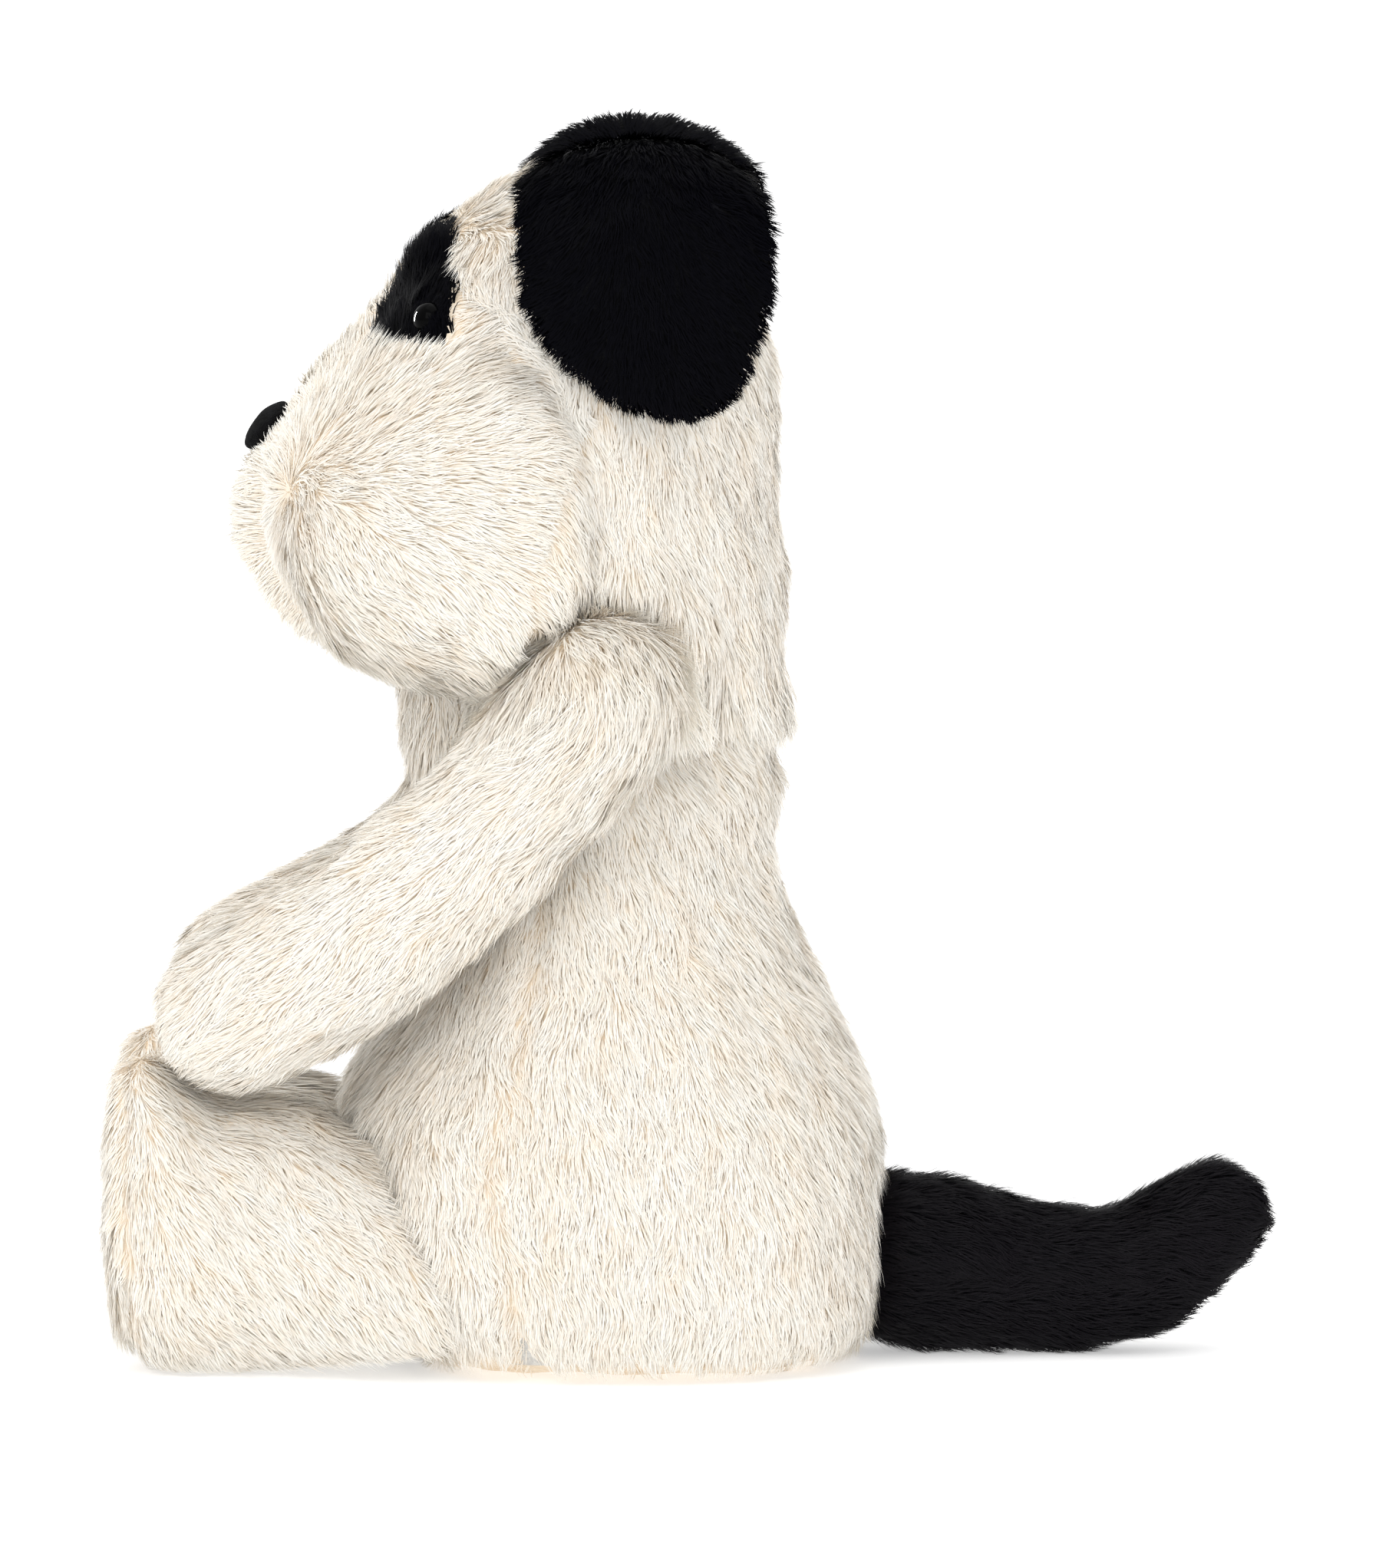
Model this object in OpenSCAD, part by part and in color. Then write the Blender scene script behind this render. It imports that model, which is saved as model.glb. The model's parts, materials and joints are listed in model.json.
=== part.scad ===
// Seated stuffed toy animal: cream long-pile plush body, floppy black ears,
// black eye patches and a long black tail.
// Millimetres, +Z up.  The toy faces -Y and its left side is +X.
// Origin: centre of the bounding box on the surface it sits on.
//
// Every sewn part is a closed loft.  A loft is a function of (s, a, t):
//   s  runs along the part, a is the angle round it in degrees,
//   t  is how far the point lies inside the outer surface.
// Fabric panels are slices of the loft, and the filling is the same loft
// drawn a little further inside.

/* [Fabric] */
// Thickness of the plush backing cloth as drawn
cloth = 1.5; // [1:0.1:3]
// Space left between two cloth panels along a seam
seam_gap = 0.5; // [0.2:0.1:1.5]
// Space left between the cloth and the filling
fill_gap = 1.4; // [0.8:0.1:2]
// Space left between parts that move against each other
joint_gap = 0.9; // [0.5:0.1:2]
// Extra room in the sockets pressed for the roots of arms, legs and tail
socket_room = 1.6; // [0.8:0.1:3]

/* [Body] */
// Half of the torso's greatest width
torso_half_width = 72; // [60:1:85]
// Front of the belly, distance ahead of the origin
belly_front = 78; // [65:1:90]
// Back of the seat, distance behind the origin
seat_back = 46.5; // [38:0.5:55]
// Height of the filling bag of pellets in the seat
pouch_height = 15; // [8:1:25]

/* [Head] */
// Half of the head's greatest width, across the cheeks
head_half_width = 67; // [55:1:80]
// Front of the muzzle, distance ahead of the origin
muzzle_front = 106.5; // [95:0.5:115]
// Height of the neck's turning centre
neck_height = 163; // [155:1:170]
// Distance of the neck's turning centre ahead of the origin
neck_forward = 20; // [15:1:25]
// Radius of the stuffed neck that the head turns on
neck_radius = 33; // [30:0.5:38]

/* [Eyes and nose] */
// Diameter of each plastic eye
eye_diameter = 8; // [6:0.5:12]
// Diameter of the locking washer behind the cloth
washer_diameter = 12; // [9:0.5:16]
// Half of the nose patch's width
nose_half_width = 9; // [6:0.5:14]

/* [Ears] */
// Half of the ear's greatest thickness
ear_half_thickness = 3.4; // [2:0.1:6]
// Sideways place of the ear's seam from the middle
ear_seam_x = 45.5; // [40:0.5:50]
// Height of the ear's seam
ear_seam_z = 272; // [265:0.5:276]
// How far the fold of the ear falls away at its front and back ends
ear_arch = 6.5; // [0:0.5:12]

/* [Limbs and tail] */
// Radius of the arm's rounded root at the shoulder
shoulder_radius = 19; // [15:0.5:22]
// Radius of the leg's rounded root at the hip
hip_radius = 27.5; // [22:0.5:30]
// Radius of the tail's rounded root
tail_root_radius = 20; // [15:0.5:22]

/* [Drawing] */
// Sub-part to draw, or all of them

/* [Hidden] */
fill_depth = cloth + fill_gap;
nod_room = 4;     // room under the cheeks for the head to nod forward
socket_gap = joint_gap + socket_room;
neck_centre = [0, -neck_forward, neck_height];
neck_pocket = neck_radius + 4;  // hollow in the head's filling, clear of the torso's rim
shoulder = [57, -neck_forward, neck_height];
hip = [34, -79, 30];
tail_root = [0, 50, 22.5];

cream = [0.95, 0.92, 0.86];
black = [0.05, 0.05, 0.06];
filling = [0.93, 0.93, 0.91];

// Cross sections of the head from the neck seam to the crown:
// height, front, back, half width, place of the widest point along Y, and
// how square the section is (2 is an ellipse)
HEAD = [
  [156, -56.7, 16.7, 36.7, -20, 2],
  [160, -59, 20.5, 40, -21, 2],
  [163.5, -67, 22.5, 46, -30, 2],
  [167.5, -78, 23, 53, -42, 2],
  [173, -88, 23, 60, -51, 2.1],
  [180, -96, 23, head_half_width - 2, -57, 2.1],
  [189, 3.5 - muzzle_front, 23, head_half_width, -57, 2.2],
  [198, -muzzle_front, 23, head_half_width, -53, 2.2],
  [208, 0.5 - muzzle_front, 23, head_half_width - 1, -48, 2.1],
  [218, 5 - muzzle_front, 23, head_half_width - 2.5, -42, 2],
  [228, -94, 23, head_half_width - 4, -36, 2],
  [238, -85.5, 22, head_half_width - 6.5, -30, 2],
  [248, -77, 19, head_half_width - 10, -26, 2],
  [257, -69.5, 15, 52, -23, 2],
  [265, -62.5, 9, 46, -21, 2],
  [272, -56, 3, 39, -20, 2],
  [278, -49, -4, 29.5, -20, 2],
  [282.5, -39, -11, 17.5, -20, 2],
  [284.5, -23, -17, 3, -20, 2]
];

// Cross sections of the torso from the base to the neck seam, same columns
TORSO = [
  [1.9, -66, seat_back - 8.5, torso_half_width - 14, -18, 2.5],
  [5, -71, seat_back - 4.5, torso_half_width - 8, -18, 2.7],
  [12, 2.5 - belly_front, seat_back - 1.5, torso_half_width - 3, -18, 2.9],
  [26, -belly_front, seat_back, torso_half_width, -18, 3],
  [42, 0.5 - belly_front, seat_back, torso_half_width, -19, 2.9],
  [58, 3.5 - belly_front, seat_back - 2, torso_half_width - 2, -20, 2.7],
  [74, -70, 39.5, 66, -20, 2.4],
  [90, -65.5, 32, 60, -20, 2.2],
  [104, -62.5, 25.5, 54.5, -20, 2.1],
  [117, -61, 21.5, 49, -20, 2],
  [130, -60, 20, 44, -20, 2],
  [141, -57, 17.5, 39.5, -20, 2],
  [148, -51.9, 12, 32, -20, 2],
  [154.5, -53.9, 13.9, 33.8, -20, 2]
];

// Spine of the left arm: place, half height across the arm, half thickness
ARM = [
  [shoulder.x, shoulder.y, shoulder.z, shoulder_radius, shoulder_radius],
  [58.5, -38, 140, 21, 18],
  [57.5, -60, 117.5, 21.5, 18],
  [54, -80, 103, 22.3, 19],
  [49.5, -97, 93, 22.3, 19.5],
  [47, -105, 88.5, 21.3, 19]
];

// Sections of the left leg from the hip forward to the sole:
// y, lowest z, highest z, half width, place of the middle along X
LEG = [
  [hip.y, hip.z - hip_radius, hip.z + hip_radius, hip_radius, hip.x],
  [-90, 1, 63, 27.5, 34],
  [-100, 0.3, 64, 28, 34],
  [-109, 0.2, 64.5, 28.5, 34.5],
  [-116.5, 0.2, 67.5, 29, 35],
  [-123, 0.2, 74, 29.5, 35],
  [-129, 0.8, 79.5, 29, 35],
  [-134, 3.5, 78.5, 27, 35],
  [-137.5, 9, 73, 23, 35],
  [-139.3, 18, 63, 15, 35],
  [-139.8, 32, 49, 5, 35]
];
sole_seam = 7; // section of the leg where the sole is sewn on

// Spine of the tail: y, middle height, half height, half width
TAIL = [
  [tail_root.y, tail_root.z, tail_root_radius, tail_root_radius],
  [66, 18.6, 17.8, 17],
  [82, 16.2, 15.6, 14.5],
  [95, 15.6, 14.4, 13.5],
  [107, 18.5, 14.4, 13],
  [117, 24.5, 13.8, 12.3],
  [125, 30, 12.3, 10.8]
];

// Path of the left ear from its seam, over the fold and down to the tip:
// x, z, middle along Y, half width along Y
EAR = [
  [ear_seam_x, ear_seam_z, -16, 19],
  [ear_seam_x + 2.2, ear_seam_z + 7, -15.5, 21],
  [ear_seam_x + 6.8, ear_seam_z + 13.5, -14, 23.5],
  [ear_seam_x + 13.5, ear_seam_z + 16.6, -12.5, 26],
  [ear_seam_x + 20.5, ear_seam_z + 14, -11.5, 27.8],
  [ear_seam_x + 25.3, ear_seam_z + 6.5, -10.7, 28.5],
  [ear_seam_x + 27.2, ear_seam_z - 5, -10.2, 28.5],
  [ear_seam_x + 26.8, ear_seam_z - 18, -9.5, 26.5],
  [ear_seam_x + 25, ear_seam_z - 30, -7, 20.5],
  [ear_seam_x + 22.8, ear_seam_z - 39, -4.5, 12.5],
  [ear_seam_x + 21.6, ear_seam_z - 43, -3.5, 5]
];

// ---- helpers -------------------------------------------------------------

function unit(v) = norm(v) < 1e-9 ? [0, 0, 1] : v / norm(v);
function clamp(v, lo, hi) = min(max(v, lo), hi);

// Smooth curve through the rows of a table; s runs from 0 to the last row.
function along(tab, s) =
  let (n = len(tab) - 1, q = clamp(s, 0, n), i = min(floor(q), n - 1), u = q - i,
       a = tab[max(i - 1, 0)], b = tab[i], c = tab[i + 1], d = tab[min(i + 2, n)])
  0.5 * (2 * b + (c - a) * u + (2 * a - 5 * b + 4 * c - d) * u * u
         + (3 * b - a - 3 * c + d) * u * u * u);

// Place along a table of horizontal sections where it reaches height z.
function level(tab, z, lo, hi, n = 24) =
  n == 0 ? (lo + hi) / 2
  : let (m = (lo + hi) / 2) along(tab, m)[0] < z
    ? level(tab, z, m, hi, n - 1) : level(tab, z, lo, m, n - 1);

// A point that lies inside a ball is moved along dir until it is out of it.
// This presses the socket for a limb's rounded root into a neighbour.
function press(p, centre, r, dir) =
  let (v = p - centre, b = v * dir, c = v * v - r * r)
  c >= 0 ? p : p + dir * (sqrt(b * b - c) - b);

// The same for a row of balls from centre c0, radius r0, to centre c1, radius r1.
function press_row(p, c0, r0, c1, r1, dir, k = 4) =
  k < 0 ? p
  : press_row(press(p, c0 + (c1 - c0) * k / 4, r0 + (r1 - r0) * k / 4, dir),
              c0, r0, c1, r1, dir, k - 1);

// Point at angle a of a horizontal section; a = 0 is the front, 90 the left.
function egg(row, a) =
  let (q = pow(pow(abs(sin(a)), row[5]) + pow(abs(cos(a)), row[5]), -1 / row[5]))
  [row[3] * q * sin(a),
   row[4] + q * cos(a) * (cos(a) > 0 ? row[1] - row[4] : row[4] - row[2]),
   row[0]];

// A point moved by t towards the middle line of an upright part.
function inward(p, mid_y, low, high, t) =
  p - t * unit(p - [0, mid_y, clamp(p.z, low, high)]);

// Closed panel: a slice of a loft between two depths below its surface.
module panel(f, s0, s1, a0, a1, ns, na, t0 = 0, t1 = cloth) {
  m = (ns + 1) * (na + 1);
  pts = [for (t = [t0, t1]) for (i = [0:ns]) for (j = [0:na])
    f(s0 + (s1 - s0) * i / ns, a0 + (a1 - a0) * j / na, t)];
  function at(k, i, j) = k * m + i * (na + 1) + j;
  outer = [for (i = [0:ns - 1]) for (j = [0:na - 1])
    each [[at(0, i, j), at(0, i + 1, j), at(0, i + 1, j + 1)],
          [at(0, i, j), at(0, i + 1, j + 1), at(0, i, j + 1)]]];
  inner = [for (i = [0:ns - 1]) for (j = [0:na - 1])
    each [[at(1, i, j), at(1, i + 1, j + 1), at(1, i + 1, j)],
          [at(1, i, j), at(1, i, j + 1), at(1, i + 1, j + 1)]]];
  ends = [for (j = [0:na - 1])
    each [[at(0, 0, j), at(0, 0, j + 1), at(1, 0, j + 1)],
          [at(0, 0, j), at(1, 0, j + 1), at(1, 0, j)],
          [at(0, ns, j), at(1, ns, j), at(1, ns, j + 1)],
          [at(0, ns, j), at(1, ns, j + 1), at(0, ns, j + 1)]]];
  sides = [for (i = [0:ns - 1])
    each [[at(0, i, 0), at(1, i, 0), at(1, i + 1, 0)],
          [at(0, i, 0), at(1, i + 1, 0), at(0, i + 1, 0)],
          [at(0, i, na), at(0, i + 1, na), at(1, i + 1, na)],
          [at(0, i, na), at(1, i + 1, na), at(1, i, na)]]];
  polyhedron(pts, concat(outer, inner, ends, sides), convexity = 8);
}

// Closed solid: a whole loft between s0 and s1 with its ends filled in.
module solid(f, s0, s1, ns, na, t) {
  rings = [for (i = [0:ns]) [for (j = [0:na - 1])
    f(s0 + (s1 - s0) * i / ns, 360 * j / na, t)]];
  function middle(r) = [for (k = [0:2]) [for (p = r) p[k]] * [for (p = r) 1 / len(r)]];
  pts = concat([for (r = rings) each r], [middle(rings[0]), middle(rings[ns])]);
  function at(i, j) = i * na + j % na;
  wall = [for (i = [0:ns - 1]) for (j = [0:na - 1])
    each [[at(i, j), at(i + 1, j), at(i + 1, j + 1)],
          [at(i, j), at(i + 1, j + 1), at(i, j + 1)]]];
  caps = [for (j = [0:na - 1])
    each [[at(0, j), at(0, j + 1), len(pts) - 2],
          [at(ns, j), len(pts) - 1, at(ns, j + 1)]]];
  polyhedron(pts, concat(wall, caps), convexity = 8);
}

// Closed shell over the end of a loft, from the ring at s0 to its tip.
module cap(f, s0, s1, ns, na) {
  pts = concat([for (t = [0, cloth]) for (i = [0:ns]) for (j = [0:na - 1])
    f(s0 + (s1 - s0) * i / ns, 360 * j / na, t)],
    [for (t = [0, cloth]) (f(s1, 0, t) + f(s1, 180, t)) / 2]);
  function at(k, i, j) = (k * (ns + 1) + i) * na + j % na;
  tip = len(pts) - 2;
  polyhedron(pts, [for (j = [0:na - 1]) each [
      [at(0, ns, j), tip, at(0, ns, j + 1)], [at(1, ns, j), at(1, ns, j + 1), tip + 1],
      [at(0, 0, j), at(0, 0, j + 1), at(1, 0, j + 1)],
      [at(0, 0, j), at(1, 0, j + 1), at(1, 0, j)]],
    for (i = [0:ns - 1]) for (j = [0:na - 1]) each [
      [at(0, i, j), at(0, i + 1, j), at(0, i + 1, j + 1)],
      [at(0, i, j), at(0, i + 1, j + 1), at(0, i, j + 1)],
      [at(1, i, j), at(1, i + 1, j + 1), at(1, i + 1, j)],
      [at(1, i, j), at(1, i, j + 1), at(1, i + 1, j + 1)]]], convexity = 6);
}

// ---- the lofts -------------------------------------------------------------

// Depth at a pressed socket: fillings stay well behind the cloth there.
function deep(t) = t > cloth ? t + 3 : t;

// Head: the underside stays clear of the stuffed neck, of the shoulders and
// of the arms below them, which it comes closer to as it nods.
function head_at(s, a, t) =
  let (row = along(HEAD, s * (len(HEAD) - 1)),
       p = inward(egg(row, a), row[4], 190, 240, t), side = p.x < 0 ? -1 : 1,
       up = unit([-0.5, 0, 0.87]), arm = ARM[1], gap = socket_gap + deep(t),
       q = press_row([abs(p.x), p.y, p.z], shoulder, shoulder_radius + gap + nod_room / 3,
                     [arm[0], arm[1], arm[2]], arm[3] + gap + nod_room, up),
       r = press(q, neck_centre, neck_radius + 2 * joint_gap, [0, 0, 1]))
  [side * r.x, r.y, r.z];

// Filling of the head: hollowed below, where the neck fits into it.
function head_fill_at(s, a, t) =
  let (rim = head_at(max(s, 0.012), a, t), mid = [0, -neck_forward, rim.z])
  press(s < 0 ? mid + (rim - mid) * (1 + s) : rim,
        neck_centre, neck_pocket, [0, 0, 1]);

// Torso: pressed in where the arms, the legs and the tail are sewn on.  The
// two hip sockets run together in the middle.
function torso_sockets(p, t) =
  let (d = deep(t), q = [abs(p.x), p.y, p.z],
       arm = press(q, shoulder, shoulder_radius + socket_gap + d, [-1, 0, 0]),
       leg = press(arm, [min(arm.x, hip.x), hip.y, hip.z],
                   hip_radius + socket_gap + d, [0, 1, 0]),
       out = [p.x < 0 ? -leg.x : leg.x, leg.y, leg.z])
  press(out, tail_root, tail_root_radius + socket_gap + d, [0, -1, 0]);

function torso_at(s, a, t) =
  let (row = along(TORSO, s * (len(TORSO) - 1)))
  torso_sockets(inward(egg(row, a), row[4], 40, 130, t), t);

// Filling of the torso: the wall part for s up to 1, the round neck above it.
function torso_fill_at(s, a, t) =
  s <= 1 ? torso_at(fill_start + (1 - fill_start) * s, a, t)
  : let (up = -12 + 100 * (s - 1), r = neck_radius)
    neck_centre + r * [cos(up) * sin(a), -cos(up) * cos(a), sin(up)];

// Limb with round ends: s from -1 to 0 is the root, 0 to 1 the limb and
// 1 to 2 the far end.
function arm_frame(s) =
  let (k = len(ARM) - 1, u = clamp(s, 0, 1), row = along(ARM, u * k),
       next = along(ARM, clamp(u + 0.02, 0, 1) * k),
       last = along(ARM, clamp(u - 0.02, 0, 1) * k),
       fwd = unit([next[0] - last[0], next[1] - last[1], next[2] - last[2]]),
       up = unit(cross(fwd, [1, 0, 0])))
  [[row[0], row[1], row[2]], fwd, up, cross(up, fwd), row[3], row[4]];

function arm_at(s, a, t) =
  let (f = arm_frame(s), over = s < 0 ? s : s > 1 ? s - 1 : 0,
       q = cos(90 * abs(over)), e = sin(90 * abs(over)) * sign(over),
       core = f[0] + f[1] * e * (f[4] - t))
  core + f[2] * q * cos(a) * (f[4] - t) + f[3] * q * sin(a) * (f[5] - t);

// Leg: s from -1 to 0 is the round root at the hip, 0 to 1 the leg.
function leg_at(s, a, t) =
  s < 0
  ? let (q = cos(90 * s), e = -sin(90 * s), r = hip_radius - t)
    hip + r * [q * sin(a), e, q * cos(a)]
  : let (row = along(LEG, s * (len(LEG) - 1)),
         mid = (row[1] + row[2]) / 2, half = (row[2] - row[1]) / 2,
         p = [row[4] + row[3] * sin(a), row[0], mid + half * cos(a)])
    p - t * unit(p - [row[4], clamp(row[0], -120, 0), clamp(p.z, 28, 45)]);

// Tail: s from -1 to 0 is the root, 0 to 1 the tail and 1 to 2 the tip.
function tail_frame(s) =
  let (k = len(TAIL) - 1, u = clamp(s, 0, 1), row = along(TAIL, u * k),
       next = along(TAIL, clamp(u + 0.02, 0, 1) * k),
       last = along(TAIL, clamp(u - 0.02, 0, 1) * k),
       fwd = unit([0, next[0] - last[0], next[1] - last[1]]))
  [[0, row[0], row[1]], fwd, cross([1, 0, 0], fwd), row[2], row[3]];

function tail_at(s, a, t) =
  let (f = tail_frame(s), over = s < 0 ? s : s > 1 ? s - 1 : 0,
       q = cos(90 * abs(over)), e = sin(90 * abs(over)) * sign(over))
  f[0] + f[1] * e * (f[3] - t) + f[2] * q * cos(a) * (f[3] - t)
  + [1, 0, 0] * q * sin(a) * (f[4] - t);

// Ear: s runs from the seam to the tip, a from -1 to 1 across, and t is the
// share of the half thickness, from -1 at the lining to 1 at the outside.
function ear_at(s, a, t) =
  let (k = len(EAR) - 1, row = along(EAR, s * k),
       next = along(EAR, clamp(s + 0.01, 0, 1) * k),
       last = along(EAR, clamp(s - 0.01, 0, 1) * k),
       fwd = unit([next[0] - last[0], 0, next[1] - last[1]]),
       out = [-fwd.z, 0, fwd.x],
       thick = ear_half_thickness * sqrt(max(1.03 - pow(abs(a), 2.6), 0.03))
               * (0.72 + 0.28 * sin(180 * clamp(s, 0, 1))))
  [row[0], row[2] + row[3] * a,
   row[1] - ear_arch * a * a * max(0, sin(180 * pow(s, 0.55)))] + out * thick * t;

// Point of the head's surface above the cloth, for patches and eyes.
function head_spot(z, a, lift) =
  let (s = level(HEAD, z, 0, len(HEAD) - 1) / (len(HEAD) - 1),
       du = head_at(s + 0.004, a, 0) - head_at(s - 0.004, a, 0),
       dv = head_at(s, a + 1, 0) - head_at(s, a - 1, 0))
  [head_at(s, a, 0) + lift * unit(cross(dv, du)), unit(cross(dv, du))];

// Closed patch lying on the head: outline given by a function of the angle.
module head_patch(outline, centre, nr, nt, low, high) {
  pts = concat(
    [for (h = [high, low]) for (i = [1:nr]) for (j = [0:nt - 1])
      let (o = outline(360 * j / nt) * i / nr, puff = h == high ? 1 - 0.35 * pow(i / nr, 4) : 1)
      head_spot(centre[0] + o[0], centre[1] + o[1], h * puff)[0]],
    [head_spot(centre[0], centre[1], high)[0], head_spot(centre[0], centre[1], low)[0]]);
  function at(k, i, j) = (k * nr + i) * nt + j % nt;
  top = 2 * nr * nt;
  polyhedron(pts, [
    for (j = [0:nt - 1]) each [
      [top, at(0, 0, j), at(0, 0, j + 1)], [top + 1, at(1, 0, j + 1), at(1, 0, j)],
      [at(0, nr - 1, j), at(1, nr - 1, j), at(1, nr - 1, j + 1)],
      [at(0, nr - 1, j), at(1, nr - 1, j + 1), at(0, nr - 1, j + 1)]],
    for (i = [0:nr - 2]) for (j = [0:nt - 1]) each [
      [at(0, i, j), at(0, i + 1, j), at(0, i + 1, j + 1)],
      [at(0, i, j), at(0, i + 1, j + 1), at(0, i, j + 1)],
      [at(1, i, j), at(1, i + 1, j + 1), at(1, i + 1, j)],
      [at(1, i, j), at(1, i, j + 1), at(1, i + 1, j + 1)]]], convexity = 6);
}

// Half of the seam gap as an angle for a part of about the given radius.
function seam(r) = seam_gap / 2 / r * 57.3;

// ---- torso -------------------------------------------------------------------

side_seam = 68; // angle of the torso's side seams from the front
pouch_low = 4;    // lowest height of the pouch, over the seat panel
fill_start = level(TORSO, pouch_height + 0.5, 0, len(TORSO) - 1) / (len(TORSO) - 1);

module torso_front_panel() color(cream)
  panel(function(s, a, t) torso_at(s, a, t), 0, 1, -side_seam + seam(60), side_seam - seam(60), 20, 18);

module torso_back_left_panel() color(cream)
  panel(function(s, a, t) torso_at(s, a, t), 0, 1, side_seam + seam(60), 180 - seam(60), 17, 11);

module torso_back_right_panel() color(cream)
  mirror([1, 0, 0]) torso_back_left_panel();

// Flat seat, closed by a seam all round.
module base_panel() color(cream)
  linear_extrude(height = cloth)
    polygon([for (a = [0:10:350])
      let (q = torso_sockets(egg(along(TORSO, 0), a), 0)) [q.x, q.y]]);

// Bag of plastic pellets that keeps the toy sitting.
module seat_pellet_pouch() color([0.8, 0.8, 0.78])
  solid(function(s, a, t)
    let (z = pouch_low + (pouch_height - pouch_low) * s,
         p = torso_at(level(TORSO, z, 0, 6) / (len(TORSO) - 1), a, fill_depth + 2.5))
    [p.x, p.y, z], 0, 1, 4, 32, 0);

module torso_stuffing() color(filling)
  solid(function(s, a, t) torso_fill_at(s, a, t), 0, 2, 24, 32, fill_depth);

// ---- head --------------------------------------------------------------------

gusset = 17;      // half angle of the strip over the face
back_seam = 104;  // angle of the seam behind the ears

module face_gusset() color(cream)
  panel(function(s, a, t) head_at(s, a, t), 0, 0.985, -gusset + seam(60), gusset - seam(60), 20, 4);

module cheek_left_panel() color(cream)
  panel(function(s, a, t) head_at(s, a, t), 0, 0.985, gusset + seam(60), back_seam - seam(60), 24, 13);

module cheek_right_panel() color(cream) mirror([1, 0, 0]) cheek_left_panel();

module head_back_left_panel() color(cream)
  panel(function(s, a, t) head_at(s, a, t), 0, 0.985, back_seam + seam(60), 180 - seam(60), 18, 8);

module head_back_right_panel() color(cream) mirror([1, 0, 0]) head_back_left_panel();

module head_stuffing() color(filling)
  solid(function(s, a, t) head_fill_at(s, a, t), -0.9, 0.99, 30, 30, fill_depth);

// ---- face --------------------------------------------------------------------

eye_place = [250, 45];    // height and angle of the eye on the head
patch_place = [256, 36];  // middle of the eye patch

// Outline of the eye patch, height and angle: a triangle with soft corners
// that slants from the brow down to the outside.
PATCH = [[273, 24], [264, 42], [253, 57], [243, 54], [243.5, 36], [249, 19], [262, 16]];
PATCH_LOOP = concat([PATCH[6]], PATCH, [PATCH[0], PATCH[1]]);

function patch_outline(q) = along(PATCH_LOOP, 1 + q / 360 * len(PATCH)) - patch_place;

module eye_patch_left() color(black)
  head_patch(function(q) patch_outline(q), patch_place, 3, 24, 0.2, 1.7);

module eye_patch_right() color(black) mirror([1, 0, 0]) eye_patch_left();

module at_eye() {
  spot = head_spot(eye_place[0], eye_place[1], 1.8);
  n = spot[1];
  translate(spot[0]) rotate([0, acos(n.z), atan2(n.y, n.x)]) children();
}

// Plastic safety eye: a domed front on a stem that goes through the cloth.
module eye_left() color([0.02, 0.02, 0.02])
  at_eye() {
    rotate_extrude($fn = 48)
      polygon(concat([[0, -0.2], [eye_diameter / 2 - 0.4, -0.2]],
        [for (q = [0:10:90]) [eye_diameter / 2 * cos(q), 0.2 + eye_diameter * 0.42 * sin(q)]]));
    translate([0, 0, -9]) cylinder(r = 1.2, h = 9, $fn = 32);
  }

module eye_right() color([0.02, 0.02, 0.02]) mirror([1, 0, 0]) eye_left();

module eye_washer_left() color([0.9, 0.9, 0.88])
  at_eye() translate([0, 0, -6]) difference() {
    cylinder(r = washer_diameter / 2, h = 1, $fn = 48);
    translate([0, 0, -1]) cylinder(r = 1.25, h = 3, $fn = 32);
  }

module eye_washer_right() color([0.9, 0.9, 0.88]) mirror([1, 0, 0]) eye_washer_left();

// Small cloth nose, wider at the top.
module nose_patch() color(black)
  head_patch(function(q) [5.2 * sin(q), nose_half_width * 1.05 * (1 + 0.25 * sin(q)) * cos(q)],
             [221, 0], 2, 18, 0.2, 2);

// ---- ears --------------------------------------------------------------------

module ear_left_outer() color(black)
  panel(function(s, a, t) ear_at(s, a, t), 0, 1, -1, 1, 15, 8, 1, 0.08);

module ear_left_lining() color(black)
  panel(function(s, a, t) ear_at(s, a, t), 0, 1, -1, 1, 15, 8, -0.08, -1);

module ear_right_outer() color(black) mirror([1, 0, 0]) ear_left_outer();
module ear_right_lining() color(black) mirror([1, 0, 0]) ear_left_lining();

// ---- arms --------------------------------------------------------------------

module arm_left_outer() color(cream)
  panel(function(s, a, t) arm_at(s, a, t), -0.96, 1.96, seam(20), 180 - seam(20), 16, 7);

module arm_left_inner() color(cream)
  panel(function(s, a, t) arm_at(s, a, t), -0.96, 1.96, 180 + seam(20), 360 - seam(20), 16, 7);

module arm_left_stuffing() color(filling)
  solid(function(s, a, t) arm_at(s, a, t), -0.95, 1.95, 15, 14, fill_depth);

module arm_right_outer() color(cream) mirror([1, 0, 0]) arm_left_outer();
module arm_right_inner() color(cream) mirror([1, 0, 0]) arm_left_inner();
module arm_right_stuffing() color(filling) mirror([1, 0, 0]) arm_left_stuffing();

// ---- legs --------------------------------------------------------------------

sole_s = sole_seam / (len(LEG) - 1);

module leg_left_upper() color(cream)
  panel(function(s, a, t) leg_at(s, a, t), -0.96, sole_s - 0.005, -95 + seam(28), 95 - seam(28), 14, 8);

module leg_left_under() color(cream)
  panel(function(s, a, t) leg_at(s, a, t), -0.96, sole_s - 0.005, 95 + seam(28), 265 - seam(28), 14, 8);

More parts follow.
